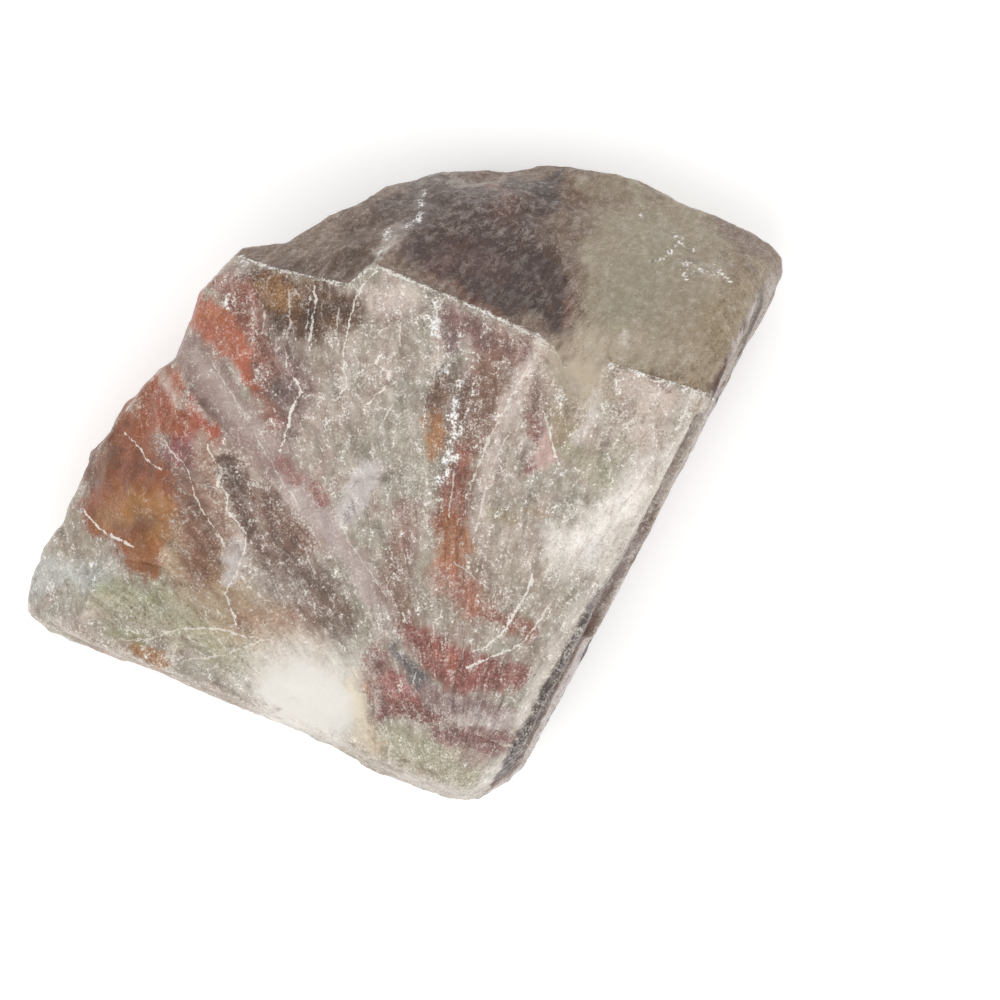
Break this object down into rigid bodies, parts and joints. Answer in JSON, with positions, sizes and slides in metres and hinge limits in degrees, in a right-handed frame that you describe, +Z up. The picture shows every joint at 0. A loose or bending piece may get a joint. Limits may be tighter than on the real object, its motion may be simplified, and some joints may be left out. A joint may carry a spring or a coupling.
{
  "type": "calcite crystal",
  "caption": "Rough block of banded green calcite with stepped cleavage faces and a weathered roof, lying on its flat back.",
  "frame": {"origin": "middle of the box round the piece, on the face it rests on", "axes": "+X along the piece's length, towards its clean cleavage face; +Y across it, towards the weathered roof; +Z up, out of the front face"},
  "size_m": [0.0764, 0.064, 0.0284],
  "materials": {
    "calcite": "rough broken calcite, cloudy pale green to grey, banded with orange, red-brown and plum, sugary grain with thin white cracks and a frosty sheen"
  },
  "bodies": {
    "root": {"calcite_crystal": "calcite"}
  },
  "joints": []
}
